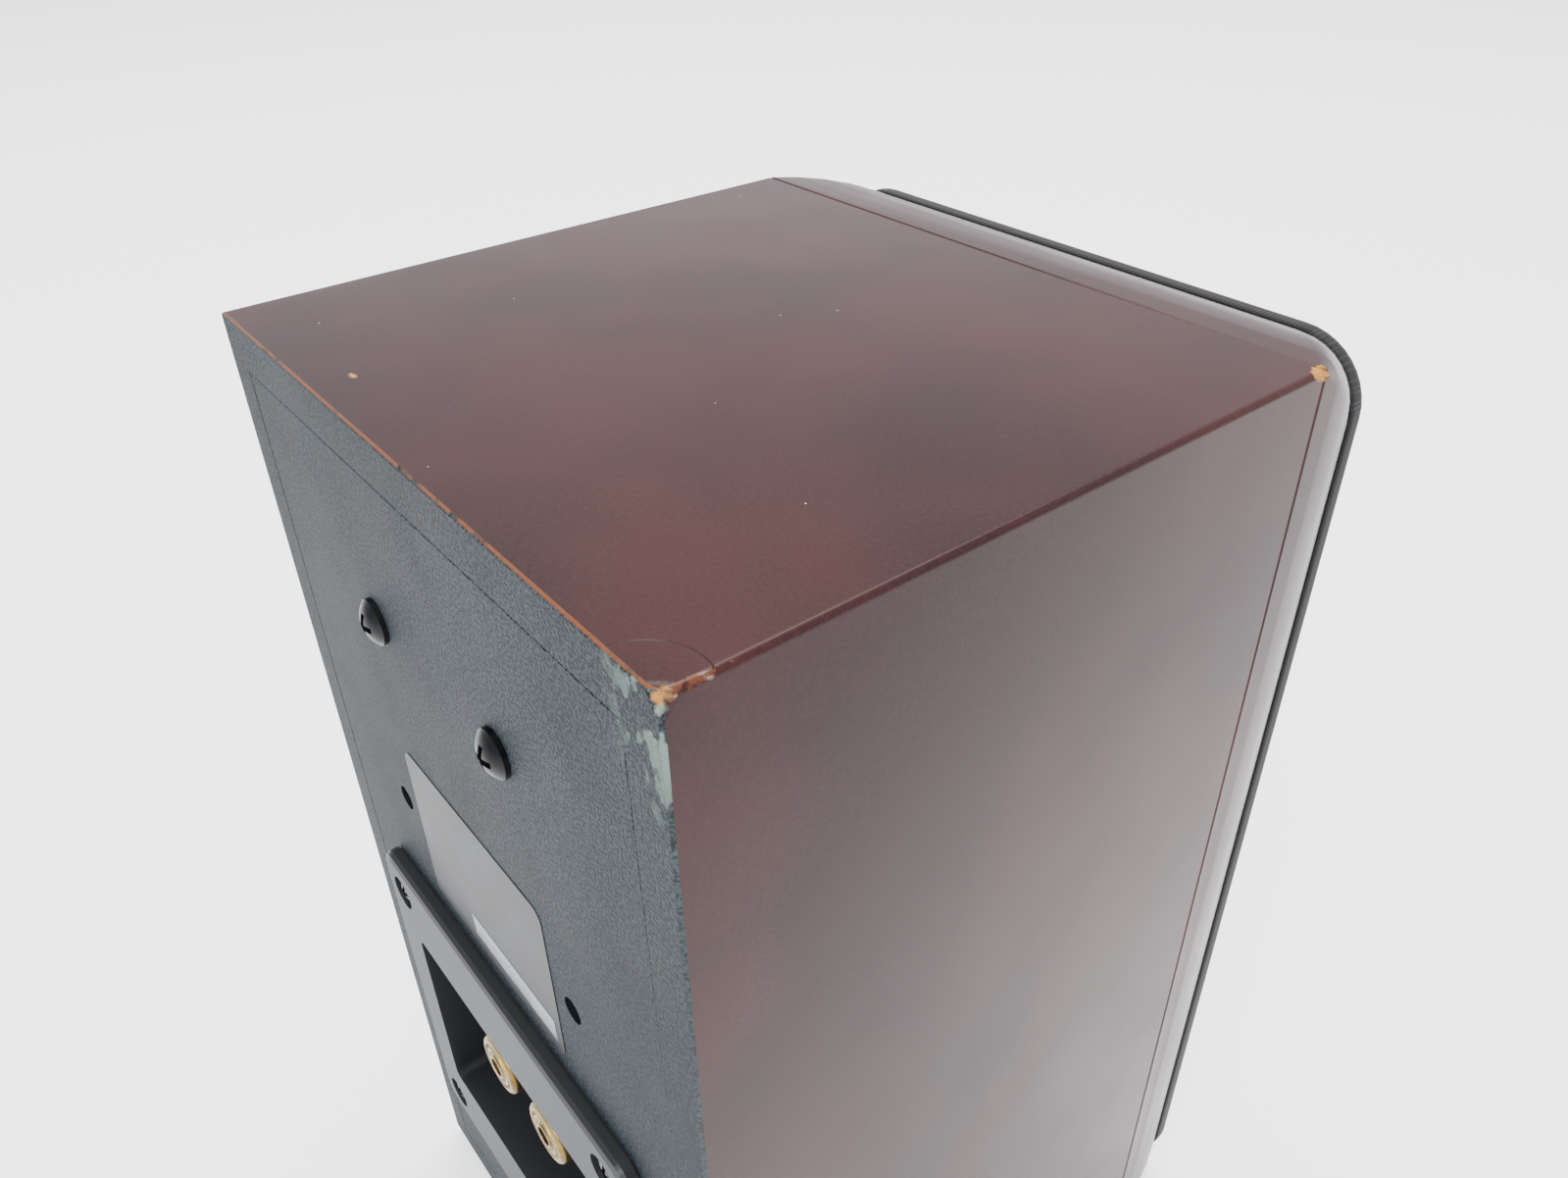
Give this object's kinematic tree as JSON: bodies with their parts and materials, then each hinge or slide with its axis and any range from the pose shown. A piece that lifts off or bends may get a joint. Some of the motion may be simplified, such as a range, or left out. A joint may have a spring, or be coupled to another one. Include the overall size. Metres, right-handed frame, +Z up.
{
  "type": "bookshelf speaker",
  "caption": "Small two-way bookshelf speaker: dark lacquered mitred cabinet with a rounded front baffle, pull-off cloth grille, recessed rear binding posts and bracket fixings.",
  "frame": {"origin": "on the floor under the middle of the whole speaker's outline, at the underside of the rubber feet", "axes": "+X to the right as seen from the front, -Y out of the front grille, +Y out of the back with the terminal cup, +Z up"},
  "size_m": [0.13, 0.142, 0.234],
  "materials": {
    "basket_steel": "black enamel",
    "black_plastic": "satin moulded black",
    "black_screw": "black oxide",
    "black_wire": "insulated",
    "capacitor_film": "wrapped film",
    "ceramic": "cement body",
    "circuit_board": "solder-masked",
    "copper": "enamelled wire",
    "ferrite": "sintered",
    "foam": "closed-cell foam",
    "gold_plate": "satin gold plate",
    "grille_cloth": "knitted speaker cloth",
    "label_foil": "semi-gloss printed film",
    "mahogany_lacquer": "glossy dark red-brown lacquer",
    "nylon": "natural",
    "red_plastic": "glossy",
    "red_wire": "insulated",
    "rubber": "matt",
    "silk": "coated woven dome",
    "slate_paint": "fine pebbled slate-grey paint",
    "spider_cloth": "corrugated cloth",
    "steel": "zinc-plated",
    "stripe_film": "pale printed film",
    "treated_paper": "coated paper pulp",
    "wadding": "polyester fibre"
  },
  "bodies": {
    "cabinet": {"top_panel": "mahogany_lacquer", "bottom_panel": "mahogany_lacquer", "left_side_panel": "mahogany_lacquer", "right_side_panel": "mahogany_lacquer", "back_panel": "slate_paint", "front_baffle": "mahogany_lacquer", "rubber_feet": "rubber", "upper_bracket_inserts": "steel", "upper_bracket_screws": "black_screw", "lower_bracket_inserts": "steel", "rating_label": "label_foil", "label_stripe": "stripe_film", "terminal_cup": "black_plastic", "terminal_cup_gasket": "foam", "terminal_cup_screws": "black_screw", "positive_post_stud": "gold_plate", "negative_post_stud": "gold_plate", "positive_post_collar": "red_plastic", "negative_post_collar": "black_plastic", "post_nuts": "steel", "solder_lugs": "steel", "crossover_board": "circuit_board", "board_standoffs": "nylon", "board_screws": "steel", "woofer_inductor": "copper", "tweeter_inductor": "copper", "film_capacitors": "capacitor_film", "power_resistor": "ceramic", "woofer_basket": "basket_steel", "woofer_surround": "rubber", "woofer_spider": "spider_cloth", "woofer_top_plate": "steel", "woofer_magnet": "ferrite", "woofer_pole_piece": "steel", "woofer_terminal_tags": "copper", "woofer_screws": "black_screw", "tweeter_faceplate": "black_plastic", "tweeter_surround": "silk", "tweeter_top_plate": "steel", "tweeter_magnet": "ferrite", "tweeter_pole_piece": "steel", "tweeter_screws": "black_screw", "port_tube": "black_plastic", "grille_sockets": "rubber", "damping_wadding": "wadding", "woofer_leads": "red_wire", "tweeter_leads": "black_wire", "terminal_leads": "black_wire"},
    "grille": {"grille_frame": "black_plastic", "grille_pegs": "black_plastic", "grille_cloth": "grille_cloth"},
    "positive_clamp": {"positive_clamp_washer": "gold_plate"},
    "negative_clamp": {"negative_clamp_washer": "gold_plate"},
    "positive_knob": {"positive_post_knob": "gold_plate"},
    "negative_knob": {"negative_post_knob": "gold_plate"},
    "woofer_diaphragm": {"woofer_cone": "treated_paper", "dust_cap": "treated_paper", "woofer_voice_coil": "copper"},
    "tweeter_diaphragm": {"tweeter_dome": "silk", "tweeter_voice_coil": "copper"}
  },
  "joints": [
    {"name": "grille_pull", "type": "slide", "parent": "cabinet", "child": "grille", "axis": [0, -1, 0], "range_m": [0, 0.06]},
    {"name": "positive_clamp_travel", "type": "slide", "parent": "cabinet", "child": "positive_clamp", "axis": [0, 1, 0], "range_m": [0, 0.0028]},
    {"name": "positive_knob_turn", "type": "hinge", "parent": "positive_clamp", "child": "positive_knob", "pos_m": [-0.0095, 0.04955, 0.0925], "axis": [0, 1, 0], "range_deg": [0, 1008]},
    {"name": "negative_clamp_travel", "type": "slide", "parent": "cabinet", "child": "negative_clamp", "axis": [0, 1, 0], "range_m": [0, 0.0028]},
    {"name": "negative_knob_turn", "type": "hinge", "parent": "negative_clamp", "child": "negative_knob", "pos_m": [0.0095, 0.04955, 0.0925], "axis": [0, 1, 0], "range_deg": [0, 1008]},
    {"name": "woofer_travel", "type": "slide", "parent": "cabinet", "child": "woofer_diaphragm", "axis": [0, -1, 0], "range_m": [-0.003, 0.003], "stiffness_N_per_m": 1500, "deforming": ["woofer_surround", "woofer_spider"]},
    {"name": "tweeter_travel", "type": "slide", "parent": "cabinet", "child": "tweeter_diaphragm", "axis": [0, -1, 0], "range_m": [-0.0003, 0.0003], "stiffness_N_per_m": 800, "deforming": ["tweeter_surround"]}
  ],
  "couplings": [
    {"joint": "positive_clamp_travel", "follows": "positive_knob_turn", "m_per_rad": 0.00015915},
    {"joint": "negative_clamp_travel", "follows": "negative_knob_turn", "m_per_rad": 0.00015915}
  ]
}
